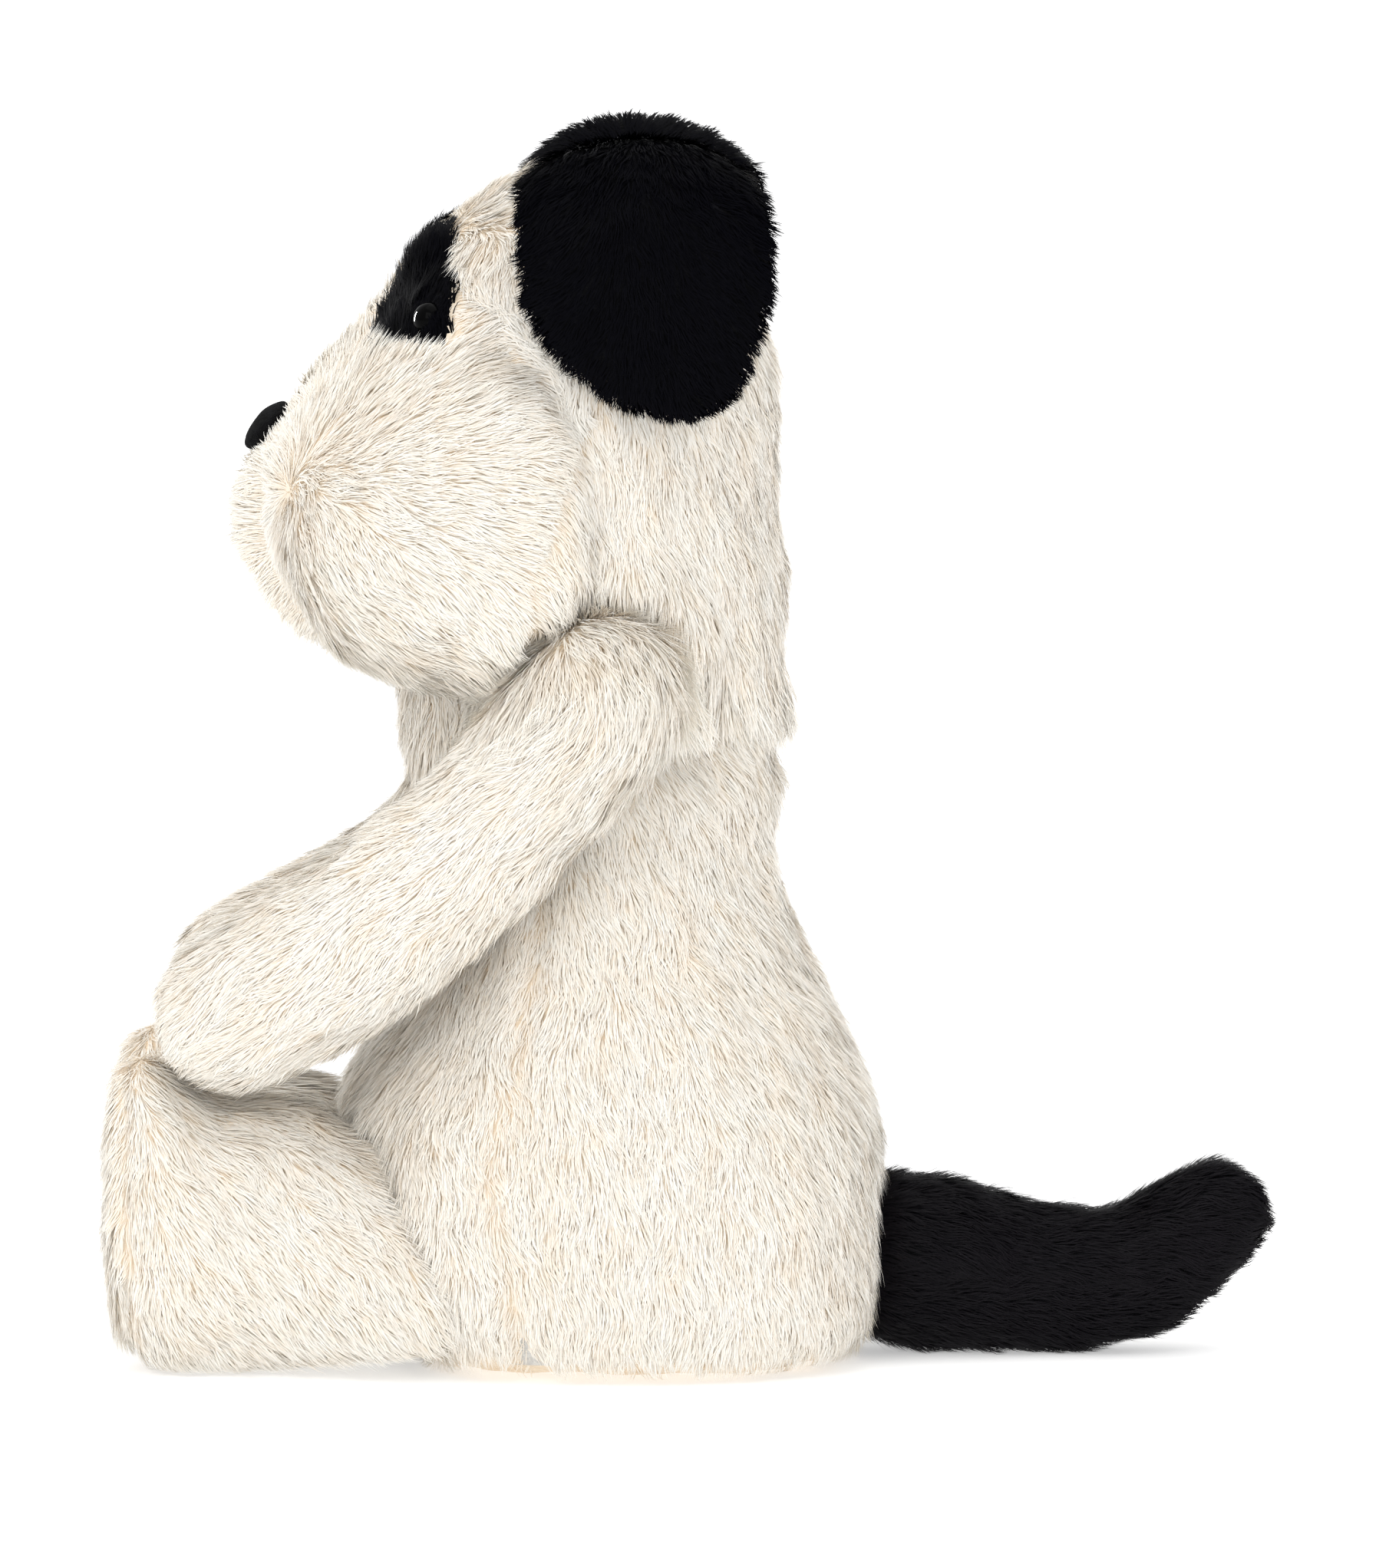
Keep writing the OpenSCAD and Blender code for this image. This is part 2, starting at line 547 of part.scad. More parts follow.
// Sole: the oval cap that closes the end of the loft.
module sole_left() color(cream)
  cap(function(s, a, t) leg_at(s, a, t), sole_s + 0.005, 1, 4, 24);

module leg_left_stuffing() color(filling)
  solid(function(s, a, t)
    leg_at(s, a, t) + [0, 1.2 * max(0, s - sole_s) / (1 - sole_s), 0],
    -0.95, 0.99, 17, 18, fill_depth);

module leg_right_upper() color(cream) mirror([1, 0, 0]) leg_left_upper();
module leg_right_under() color(cream) mirror([1, 0, 0]) leg_left_under();
module sole_right() color(cream) mirror([1, 0, 0]) sole_left();
module leg_right_stuffing() color(filling) mirror([1, 0, 0]) leg_left_stuffing();

// ---- tail --------------------------------------------------------------------

module tail_left_panel() color(black)
  panel(function(s, a, t) tail_at(s, a, t), -0.96, 1.96, seam(16), 180 - seam(16), 18, 7);

module tail_right_panel() color(black) mirror([1, 0, 0]) tail_left_panel();

module tail_stuffing() color(filling)
  solid(function(s, a, t) tail_at(s, a, t), -0.95, 1.95, 17, 14, fill_depth);

torso_front_panel();
torso_back_left_panel();
torso_back_right_panel();
base_panel();
seat_pellet_pouch();
torso_stuffing();
face_gusset();
cheek_left_panel();
cheek_right_panel();
head_back_left_panel();
head_back_right_panel();
head_stuffing();
eye_patch_left();
eye_patch_right();
eye_left();
eye_right();
eye_washer_left();
eye_washer_right();
nose_patch();
ear_left_outer();
ear_left_lining();
ear_right_outer();
ear_right_lining();
arm_left_outer();
arm_left_inner();
arm_left_stuffing();
arm_right_outer();
arm_right_inner();
arm_right_stuffing();
leg_left_upper();
leg_left_under();
sole_left();
leg_left_stuffing();
leg_right_upper();
leg_right_under();
sole_right();
leg_right_stuffing();
tail_left_panel();
tail_right_panel();
tail_stuffing();
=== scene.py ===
import json
import math
from types import SimpleNamespace

import bmesh
import bpy
import numpy as np
from mathutils import Matrix, Vector
from mathutils.bvhtree import BVHTree
from mathutils.kdtree import KDTree


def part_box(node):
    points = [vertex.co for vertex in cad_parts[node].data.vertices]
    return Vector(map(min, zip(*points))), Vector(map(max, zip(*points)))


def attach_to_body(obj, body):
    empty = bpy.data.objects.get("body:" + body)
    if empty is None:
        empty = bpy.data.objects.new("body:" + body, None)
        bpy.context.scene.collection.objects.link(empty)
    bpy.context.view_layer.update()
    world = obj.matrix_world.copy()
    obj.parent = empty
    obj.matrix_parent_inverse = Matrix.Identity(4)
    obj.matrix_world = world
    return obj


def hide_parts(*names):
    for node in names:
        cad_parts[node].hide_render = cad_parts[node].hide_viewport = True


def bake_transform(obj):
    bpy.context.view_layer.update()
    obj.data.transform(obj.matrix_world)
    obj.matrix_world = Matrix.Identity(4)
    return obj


# Looks of the seated plush toy.  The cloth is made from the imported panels: each body's panels are
# closed into one skin, blown up between its seams, and covered with pile that lies the way it was
# brushed.  All lengths are in millimetres, and meshes turn to metres when they are made.

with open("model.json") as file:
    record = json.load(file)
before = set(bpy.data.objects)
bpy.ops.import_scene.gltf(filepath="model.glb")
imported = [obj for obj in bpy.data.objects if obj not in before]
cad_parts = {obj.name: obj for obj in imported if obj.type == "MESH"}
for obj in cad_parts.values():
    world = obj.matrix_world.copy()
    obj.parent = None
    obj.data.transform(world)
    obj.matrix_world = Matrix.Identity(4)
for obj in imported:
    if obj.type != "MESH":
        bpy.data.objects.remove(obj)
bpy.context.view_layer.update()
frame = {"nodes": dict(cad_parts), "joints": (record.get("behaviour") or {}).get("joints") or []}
scene = bpy.context.scene

MM = 0.001
FLOOR_GAP = 0.4          # nothing goes lower than this over the floor

# Landmarks: the joints' own places.  The toy faces -Y, and its left side is at +X.
PLACE = {joint["name"]: np.round(np.array(joint["pos_m"]) / MM, 3) for joint in frame["joints"]}
NECK = PLACE["head_nod"]
SHOULDER = PLACE["arm_left_spread"]
HIP = PLACE["leg_left_spread"]
TAIL_ROOT = PLACE["tail_wag"]
EAR_ROOT = PLACE["ear_left_lift"]

# ------------------------------------------------------------------ which panels make each skin

SIDES = {"left": 1.0, "right": -1.0}
PANELS = {
    "torso": ["torso_front_panel", "torso_back_left_panel", "torso_back_right_panel", "base_panel"],
    "head": ["face_gusset", "cheek_left_panel", "cheek_right_panel", "head_back_left_panel",
             "head_back_right_panel", "eye_patch_left", "eye_patch_right", "nose_patch"],
    "tail": ["tail_left_panel", "tail_right_panel"]}
CORES = {"torso": ["torso_stuffing", "seat_pellet_pouch"], "head": ["head_stuffing"],
         "tail": ["tail_stuffing"]}
for side in SIDES:
    PANELS["arm_" + side] = [f"arm_{side}_outer", f"arm_{side}_inner"]
    PANELS["leg_" + side] = [f"leg_{side}_upper", f"leg_{side}_under", f"sole_{side}"]
    PANELS["ear_" + side] = [f"ear_{side}_outer", f"ear_{side}_lining"]
    CORES["arm_" + side] = [f"arm_{side}_stuffing"]
    CORES["leg_" + side] = [f"leg_{side}_stuffing"]
    CORES["ear_" + side] = []
BLACK = ("tail", "ear_left", "ear_right")


def kind_of(body):
    """A body's name without its side."""
    return body.split("_")[0]


def is_patch(name):
    return "eye_patch" in name or name == "nose_patch"


# ------------------------------------------------------------------ small helpers


def unit(v):
    return v / np.maximum(np.linalg.norm(v, axis=-1, keepdims=True), 1e-9)


def smooth(x, low, high):
    """Rises smoothly from 0 to 1 between two values."""
    q = np.clip((x - low) / (high - low), 0, 1)
    return q * q * (3 - 2 * q)


def bump(x, width):
    """Round hill, 1 in the middle, about 'width' to either side."""
    return np.exp(-(x / width) ** 2)


def dot(a, b):
    return (a * b).sum(-1, keepdims=True)


class Waves:
    """Soft random field made of a few sine waves, about 'size' across."""

    def __init__(self, size, seed, count=10):
        g = np.random.default_rng(seed)
        turns = 2 * math.pi / size * g.uniform(0.6, 1.5, (count, 1))
        self.k = unit(g.normal(size=(count, 3))) * turns
        self.shift = g.uniform(0, 2 * math.pi, count)

    def __call__(self, p):
        return np.sin(p @ self.k.T + self.shift).sum(-1) * math.sqrt(2 / len(self.shift)) * 0.6


def points_of(mesh):
    co = np.empty(len(mesh.vertices) * 3)
    mesh.vertices.foreach_get("co", co)
    return co.reshape(-1, 3) / MM


def put_points(mesh, p):
    mesh.vertices.foreach_set("co", (p * MM).astype(np.float32).ravel())
    mesh.update()


def normals_of(mesh):
    n = np.empty(len(mesh.vertices) * 3)
    mesh.vertices.foreach_get("normal", n)
    return n.reshape(-1, 3)


def triangles_of(mesh):
    mesh.calc_loop_triangles()
    t = np.empty(len(mesh.loop_triangles) * 3, np.int32)
    mesh.loop_triangles.foreach_get("vertices", t)
    return t.reshape(-1, 3)


def tree_of(names):
    """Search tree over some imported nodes, in millimetres."""
    points, faces, count = [], [], 0
    for name in names:
        mesh = frame["nodes"][name].data
        p = points_of(mesh)
        points.append(p)
        faces.append(triangles_of(mesh) + count)
        count += len(p)
    return BVHTree.FromPolygons(np.concatenate(points).tolist(), np.concatenate(faces).tolist())


def middle_of(name):
    low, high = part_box(name)
    return np.array((low + high) / 2) / MM


def from_mark(p, mark):
    """How far points lie from the middle plane, ahead of a landmark, and above it."""
    return np.abs(p[:, 0]), mark[1] - p[:, 1], p[:, 2] - mark[2]


def from_shoulder(p):
    """How far points lie from the shoulder on their own side."""
    return np.linalg.norm(np.abs(p) * [1, 0, 0] + p * [0, 1, 1] - SHOULDER, axis=-1)


def apply_modifiers(obj):
    graph = bpy.context.evaluated_depsgraph_get()
    mesh = bpy.data.meshes.new_from_object(obj.evaluated_get(graph))
    obj.modifiers.clear()
    old = obj.data
    obj.data = mesh
    bpy.data.meshes.remove(old)
    mesh.name = obj.name


def shade_smooth(mesh):
    mesh.polygons.foreach_set("use_smooth", np.ones(len(mesh.polygons), bool))


# ------------------------------------------------------------------ materials


def new_material(name):
    m = bpy.data.materials.new(name)
    m.use_nodes = True
    return m, m.node_tree.nodes, m.node_tree.links, m.node_tree.nodes["Principled BSDF"]


def pile(name, colour, rough=0.75, sheen=0.3, gloss=0.25):
    """One tone of the pile; each strand of pile takes its tones from a row of these."""
    m, _, _, shader = new_material(name)
    shader.inputs["Base Color"].default_value = (*colour, 1)
    shader.inputs["Roughness"].default_value = rough
    shader.inputs["Sheen Weight"].default_value = sheen
    shader.inputs["Sheen Roughness"].default_value = 0.5
    shader.inputs["Sheen Tint"].default_value = (*[min(1, c * 1.2 + 0.1) for c in colour], 1)
    shader.inputs["Specular IOR Level"].default_value = gloss
    return m


def tone_row(name, dark, light, count, **finish):
    """Pile tones from the parting up to the tip; the darker ones at the roots are painted shade deep
    in the pile.
    """
    row = []
    for i in range(count):
        q = i / (count - 1)
        colour = [a + (b - a) * q for a, b in zip(dark, light)]
        row.append(pile(f"{name}_{i}", colour, **finish))
    return row


def backing(name, low, high, scale=220.0, sheen=0.3):
    """Knitted backing cloth with fibre roots: mottled colour, rows of loops and a fine bump."""
    m, nodes, links, shader = new_material(name)
    place = nodes.new("ShaderNodeTexCoord")
    mottle = nodes.new("ShaderNodeTexNoise")
    mottle.inputs["Scale"].default_value = scale
    mottle.inputs["Detail"].default_value = 5
    ramp = nodes.new("ShaderNodeValToRGB")
    ramp.color_ramp.elements[0].position = 0.32
    ramp.color_ramp.elements[0].color = (*low, 1)
    ramp.color_ramp.elements[1].position = 0.68
    ramp.color_ramp.elements[1].color = (*high, 1)
    loops = nodes.new("ShaderNodeTexWave")
    loops.inputs["Scale"].default_value = scale * 1.6
    loops.inputs["Distortion"].default_value = 4
    height = nodes.new("ShaderNodeMath")
    height.operation = "ADD"
    relief = nodes.new("ShaderNodeBump")
    relief.inputs["Strength"].default_value = 0.5
    relief.inputs["Distance"].default_value = 0.4 * MM
    links.new(place.outputs["Object"], mottle.inputs["Vector"])
    links.new(place.outputs["Object"], loops.inputs["Vector"])
    links.new(mottle.outputs["Fac"], ramp.inputs["Fac"])
    links.new(ramp.outputs["Color"], shader.inputs["Base Color"])
    links.new(mottle.outputs["Fac"], height.inputs[0])
    links.new(loops.outputs["Fac"], height.inputs[1])
    links.new(height.outputs["Value"], relief.inputs["Height"])
    links.new(relief.outputs["Normal"], shader.inputs["Normal"])
    shader.inputs["Roughness"].default_value = 0.9
    shader.inputs["Sheen Weight"].default_value = sheen
    shader.inputs["Specular IOR Level"].default_value = 0.1
    return m


def moulded(name, low, high, rough, ior=1.5):
    """Moulded plastic: nearly even colour with faint flow marks and a fine skin."""
    m, nodes, links, shader = new_material(name)
    place = nodes.new("ShaderNodeTexCoord")
    marks = nodes.new("ShaderNodeTexNoise")
    marks.inputs["Scale"].default_value = 400
    ramp = nodes.new("ShaderNodeValToRGB")
    ramp.color_ramp.elements[0].color = (*low, 1)
    ramp.color_ramp.elements[1].color = (*high, 1)
    relief = nodes.new("ShaderNodeBump")
    relief.inputs["Strength"].default_value = 0.03
    relief.inputs["Distance"].default_value = 0.02 * MM
    links.new(place.outputs["Object"], marks.inputs["Vector"])
    links.new(marks.outputs["Fac"], ramp.inputs["Fac"])
    links.new(ramp.outputs["Color"], shader.inputs["Base Color"])
    links.new(marks.outputs["Fac"], relief.inputs["Height"])
    links.new(relief.outputs["Normal"], shader.inputs["Normal"])
    shader.inputs["Roughness"].default_value = rough
    shader.inputs["IOR"].default_value = ior
    return m


# The tan dark end of the cream row is painted shade for the roots and partings; the pale end is the
# cream of the tips.
CREAM_TONES = tone_row("cream_pile", (0.957, 0.815, 0.635), (0.98, 0.955, 0.895), 6, sheen=0.12)
BLACK_TONES = tone_row("black_pile", (0.0006, 0.0006, 0.001), (0.002, 0.002, 0.0035), 4,
                       rough=0.38, sheen=0, gloss=0.022)
TAIL_TONES = tone_row("tail_pile", (0.002, 0.002, 0.003), (0.008, 0.007, 0.009), 4,
                      rough=0.45, sheen=0, gloss=0.06)
# The cream backing is tanner and darker than the pile: painted shade where it shows through partings
# and gaps. Its mottle and loops are the cloth's own.
cream_backing = backing("cream_backing", (0.90, 0.74, 0.55), (0.95, 0.84, 0.68))
black_backing = backing("black_backing", (0.001, 0.001, 0.001), (0.004, 0.004, 0.006), sheen=0)
nose_felt = backing("nose_felt", (0.001, 0.001, 0.001), (0.005, 0.005, 0.006), 500.0, 0)
filling = backing("filling", (0.82, 0.83, 0.84), (0.93, 0.93, 0.93), 90.0)
pouch_cloth = backing("pouch_cloth", (0.66, 0.65, 0.62), (0.8, 0.79, 0.76), 600.0)
eye_plastic = moulded("eye_plastic", (0.0004, 0.0004, 0.0005), (0.001, 0.001, 0.001), 0.03,
                      ior=1.12)
washer_plastic = moulded("washer_plastic", (0.75, 0.75, 0.72), (0.85, 0.85, 0.82), 0.35)

# ------------------------------------------------------------------ cloth skins

NECK_PLUG = 35.2         # radius of the round neck that closes the head below


def closed_skin(body, voxel):
    """One closed mesh round all panels and the filling of a body."""
    joined = bmesh.new()
    for name in PANELS[body] + CORES[body]:
        joined.from_mesh(frame["nodes"][name].data)
    if body == "head":
        plug = Matrix.Translation(Vector(NECK * MM))
        bmesh.ops.create_icosphere(joined, subdivisions=4, radius=NECK_PLUG * MM, matrix=plug)
    mesh = bpy.data.meshes.new(body + "_cloth")
    joined.to_mesh(mesh)
    joined.free()
    obj = bpy.data.objects.new(body + "_cloth", mesh)
    scene.collection.objects.link(obj)
    remesh = obj.modifiers.new("Remesh", "REMESH")
    remesh.mode = "VOXEL"
    remesh.voxel_size = voxel * MM
    relax = obj.modifiers.new("Relax", "SMOOTH")
    relax.factor = 0.5
    relax.iterations = 4
    apply_modifiers(obj)
    return obj


PATCH_MIN, PATCH_MAX = (np.round(np.array(corner) / MM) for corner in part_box("eye_patch_left"))
PATCH_BACK = PATCH_MAX[1] - 6     # the patch's rear edge is upright
PATCH_FOOT = PATCH_MIN[2] + 1.6    # and its lower edge is level
BROW = PATCH_MAX[2] - 9           # height at which the brow bulges
BROW_HIGH, BROW_OUT = 9.0, 5.0
PATCH_SPREAD = 0.6                 # a patch sewn on top takes the points this close to it,
PATCH_AHEAD = 2.0                  # and this much more towards the nose bridge
ON_TOP = 0.1                       # the patch wins over the panel under it by this
TRIM = 1.5                         # how sharply its edges are cut
NOSE_RIM = 1.6           # pile also grows under the rim of the nose, this far in
FAR = 99.0               # stands for no patch near


def patch_distance(points, found):
    """Distance to an eye patch, made to give it an upright rear edge and a level lower one."""
    edge = PATCH_BACK + BROW_OUT * bump(points[:, 2] - BROW, BROW_HIGH)
    past = np.maximum(points[:, 1] - edge, 0) + np.maximum(PATCH_FOOT - points[:, 2], 0)
    _, ahead, _ = from_mark(points, NECK)
    spread = PATCH_SPREAD + PATCH_AHEAD * smooth(ahead, 44, 56)
    return np.maximum(0, found - spread) - ON_TOP + TRIM * past


def seams_of(body, points):
    """For each point: nearest panel, distance to the next panel, and the way off from it."""
    dist, spot = [], []
    for name in PANELS[body]:
        tree = tree_of([name])
        found = [tree.find_nearest(p) for p in points.tolist()]
        spot.append([f[0] for f in found])
        near = np.array([f[3] for f in found])
        if "eye_patch" in name:
            near = patch_distance(points, near)
        if name == "nose_patch":
            near = near + NOSE_RIM
        dist.append(near)
    patch = [d for d, name in zip(dist, PANELS[body]) if "eye_patch" in name]
    patch = np.min(patch, axis=0) if patch else np.full(len(points), FAR)
    dist, spot = np.array(dist), np.array(spot)
    owner = np.argmin(dist, axis=0)
    # a leg's upper and under panels count as one tube, with no seam between them
    tube = np.array([body.startswith("leg") and "sole" not in n for n in PANELS[body]])
    same = (tube[:, None] & tube[owner]) | (np.arange(len(dist))[:, None] == owner)
    other = np.argmin(np.where(same, np.inf, dist), axis=0)
    index = np.arange(len(points))
    return owner, dist[other, index], unit(points - spot[other, index]), patch


def blow_up(skins, pressure=3.0, frames=16, most=2.5):
    """Cloth simulation: panels swell between the seams, which are pinned."""
    start = {}
    for obj, seam in skins:
        group = obj.vertex_groups.new(name="seams")
        hold = 1 - smooth(seam, 1.5, 6)
        for i in np.flatnonzero(hold > 0.01).tolist():
            group.add([i], float(hold[i]), "REPLACE")
        cloth = obj.modifiers.new("Cloth", "CLOTH")
        cloth.settings.quality = 4
        cloth.settings.use_pressure = True
        cloth.settings.uniform_pressure_force = pressure
        cloth.settings.vertex_group_mass = "seams"
        cloth.settings.effector_weights.gravity = 0
        cloth.point_cache.frame_end = frames
        start[obj.name] = points_of(obj.data)
    for f in range(1, frames + 1):
        scene.frame_set(f)
    graph = bpy.context.evaluated_depsgraph_get()
    for obj, _ in skins:
        move = points_of(obj.evaluated_get(graph).data) - start[obj.name]
        size = np.linalg.norm(move, axis=-1, keepdims=True)
        move *= np.minimum(size, most) / np.maximum(size, 1e-6)
        obj.modifiers.clear()
        obj.vertex_groups.clear()
        put_points(obj.data, start[obj.name] + move)
    scene.frame_set(1)


NOSE = np.round(middle_of("nose_patch"))
MUZZLE = NOSE + [34, 18, -14]                 # where the cheek pile parts and fans out
CHEEK = np.round(middle_of("cheek_left_panel")) + [-4, -8, -20]     # middle of the cheek bulge
CHEEK_R = 46.0
EYE_DEEP = 4.6           # the dome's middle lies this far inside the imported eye's tip
EYE_LOW = 1.6            # and this much lower


def eye_place(side):
    """Middle of the eye's dome."""
    p = points_of(frame["nodes"]["eye_" + side].data)
    inside = middle_of("eye_washer_" + side)
    apex = p[np.argmax(np.linalg.norm(p - inside, axis=-1))]
    return apex - EYE_DEEP * unit(apex - inside) - np.array([0, 0, EYE_LOW])


EYES = {side: eye_place(side) for side in SIDES}


def face_shape(p, n):
    """Cheeks stand out as round pads: a cleft beside the nose strip and a crease behind."""
    x, ahead, up = from_mark(p, NECK)
    front = smooth(ahead, 58, 76) * smooth(up, 1, 13) * smooth(53 - up, 0, 12)
    cleft = 5.0 * bump(x - 16, 4.5) + 3.5 * smooth(x, 16, 24) * (1 - smooth(x, 34, 56))
    nose_strip = 1.5 * (1 - smooth(x, 5, 13))
    d = np.hypot(p[:, 1] - CHEEK[1], p[:, 2] - CHEEK[2])
    side = smooth(x, 20, 40)
    pad = smooth(CHEEK_R - d, 0, 18) * side
    crease = bump(d - CHEEK_R - 1, 5.0) * side * smooth(-ahead, -75, -40)
    for eye in EYES.values():
        crease *= smooth(np.linalg.norm(p - eye, axis=-1), 10, 24)
    back = smooth(-ahead, 24, 38) * smooth(up, 22, 42)
    brow = smooth(x, 4, 14) * (1 - smooth(x, 36, 50)) * smooth(ahead, 0, 20)
    chin = (1 - smooth(up, 7, 29)) * smooth(ahead, 16, 36)
    q = p + n * (2.4 * pad - 3.4 * crease - 1.6 * back)[:, None]
    q[:, 1] += front * (cleft - nose_strip)
    q[:, 1] -= BROW_OUT * brow * bump(p[:, 2] - BROW, BROW_HIGH)
    q[:, 2] -= 2.6 * chin
    return q


def nape_shape(p, body):
    """The back line runs straight from the head down to the torso, and the two overlap."""
    _, ahead, up = from_mark(p, NECK)
    if body == "head":
        fill = 5.0 * (1 - smooth(up, -7, 6)) * smooth(-ahead, 20, 34)
        lap = -5.0 * (1 - smooth(up, -8, 7)) * smooth(-ahead, 4, 26)
    else:
        fill = 6.6 * smooth(up, -41, -12) * smooth(-ahead, 6, 28)
        lap = 5.0 * smooth(up, -17, -7) * smooth(-ahead, 4, 26)
    return p + np.stack([0 * fill, fill, lap], -1)


def belly_shape(p):
    """Beside the thighs the belly stands forward above and falls back towards the floor."""
    x, ahead, up = from_mark(p, NECK)
    height = p[:, 2]
    back = 1.0 * (1 - smooth(height, 2, 36)) * smooth(x, 26, 44) * smooth(ahead, 0, 42)
    belly = 9 * bump(height - 58, 26) * smooth(ahead, 0, 40)
    chest = 10.5 * smooth(up, -53, -33) + 6 * smooth(up, -25, -13)
    chest *= smooth(ahead, 6, 28) * (1 - smooth(x, 20, 42))
    q = p + (back - belly - chest)[:, None] * np.array([0, 1.0, 0])
    narrower = 0.02 * (1 - smooth(height, 0, 13))
    return q * (1 - narrower[:, None] * [1, 1, 0])


ARM_UP = unit(np.array([0, -0.66, 0.75]))     # the side of an arm that faces up and forwards
ARM_SAG = 5.5            # the far arm hangs this much lower in its middle


def arm_shape(p, n, body):
    """The top of each arm is a little flatter, and the far arm hangs lower."""
    _, ahead, _ = from_mark(p, SHOULDER)
    flatter = 0.6 * smooth(dot(n, ARM_UP)[:, 0], 0.1, 0.8) * smooth(ahead, 10, 30)
    sag = ARM_SAG * smooth(ahead, 4, 26) * (1 - 0.4 * smooth(ahead, 64, 88))
    sag *= body == "arm_right"
    return p - n * flatter[:, None] - sag[:, None] * np.array([0, 0, 1.0])


def tail_shape(p, n):
    """The tail is fuller above its root and below its tip."""
    _, ahead, _ = from_mark(p, TAIL_ROOT)
    root = 3.8 * smooth(-ahead, 0, 18) * smooth(n[:, 2], -0.6, 0.5)
    tip = 2.5 * smooth(-ahead, 60, 84) * smooth(-n[:, 2], -0.5, 0.6)
    return p + (root + tip)[:, None] * np.array([0, 0, 1.0])


def leg_shape(p, n):
    """The thigh wraps round the foot of the belly, and the sole is pulled in."""
    x, ahead, up = from_mark(p, HIP)
    height = p[:, 2]
    low = (1 - smooth(height, 6, 46)) * smooth(-ahead, -25, -5) * smooth(x - HIP[0], 0, 16)
    high = smooth(up, 14, 26) * bump(19 - ahead, 16)
    sole = 1.8 * smooth(ahead, 41, 53)
    move = np.stack([np.sign(p[:, 0]) * 9 * low, 16 * low, 2.0 * high], -1)
    return p + move - n * sole[:, None]


SINK = {"tail": -0.6, "ear": -0.6, "arm": 1.6, "head": 1.2, "torso": 1.2, "leg": 1.2}
SHOULDER_FULL = 5.5      # near the shoulder the cloth stands out this much more,
ARM_FULL = 1.0           # or this much on the arm itself
SEAM_WIDE = 3.0          # a seam draws the cloth in over this width
VOXEL = {"torso": 3.2, "head": 3.0, "tail": 2.4, "arm": 2.6, "leg": 2.8, "ear": 1.6}
SEAM_DEEP = {"torso": 1.6, "head": 0.8, "tail": 1.2, "arm": 1.2, "leg": 1.8, "ear": 0.3}


class Skin:
    """A finished cloth surface, with what the pile needs to know at each point of it."""

    def __init__(self, body, obj):
        mesh = obj.data
        p, n = points_of(mesh), normals_of(mesh)
        kind = kind_of(body)
        self.owner, self.seam, self.away, self.patch = seams_of(body, p)
        lumps = Waves(26, len(body) + 3)(p) * 0.5 + Waves(11, len(body))(p) * 0.25
        full = ARM_FULL if kind == "arm" else SHOULDER_FULL
        sink = SINK[kind] - full * (1 - smooth(from_shoulder(p), 24, 40))
        if body == "head":
            for eye in EYES.values():
                sink = sink * smooth(np.linalg.norm(p - eye, axis=-1), 5, 12)
        p = p + n * (lumps - sink - SEAM_DEEP[kind] * bump(self.seam, SEAM_WIDE))[:, None]
        if body == "head":
            p = face_shape(p, n)
        if body in ("head", "torso"):
            p = nape_shape(p, body)
        if body == "torso":
            p = belly_shape(p)
        if kind == "arm":
            p = arm_shape(p, n, body)
        if kind == "tail":
            p = tail_shape(p, n)
        if kind == "leg":
            p = leg_shape(p, n)
        p[:, 2] = np.maximum(p[:, 2], FLOOR_GAP)
        put_points(mesh, p)
        shade_smooth(mesh)
        self.body, self.obj = body, obj
        self.points, self.normals = p, normals_of(mesh)
        self.triangles = triangles_of(mesh)


FILL_DEPTH = 8.0


def fibre(body, obj):
    """Fibre filling: the same form drawn well inside the cloth."""
    mesh = obj.data.copy()
    outward = normals_of(mesh)
    inner = points_of(mesh) - outward * FILL_DEPTH
    put_points(mesh, arm_shape(inner, outward, body) if kind_of(body) == "arm" else inner)
    piece = bpy.data.objects.new(body + "_fibre", mesh)
    scene.collection.objects.link(piece)
    relax = piece.modifiers.new("Relax", "SMOOTH")
    relax.factor = 0.6
    relax.iterations = 12
    apply_modifiers(piece)
    shade_smooth(piece.data)
    piece.data.materials.clear()
    piece.data.materials.append(filling)
    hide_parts(CORES[body][0])
    return piece


raw = {body: closed_skin(body, VOXEL[kind_of(body)]) for body in PANELS}
fibres = {body: fibre(body, raw[body]) for body in raw if CORES[body]}
stuffed = [body for body in raw if kind_of(body) != "ear"]
blow_up([(raw[body], seams_of(body, points_of(raw[body].data))[1]) for body in stuffed])
skins = {}
for body, obj in raw.items():
    finer = obj.modifiers.new("Finer", "SUBSURF")
    finer.levels = 1
    apply_modifiers(obj)
    skins[body] = Skin(body, obj)

# ------------------------------------------------------------------ which way the pile lies

# Each of these gives, for points on a body, the way its pile is brushed there.


def flow_torso(p):
    back = 0.08 + 0.075 * smooth(p[:, 2], 20, 90)
    return np.stack([0 * back, back, 0 * back - 1], -1)


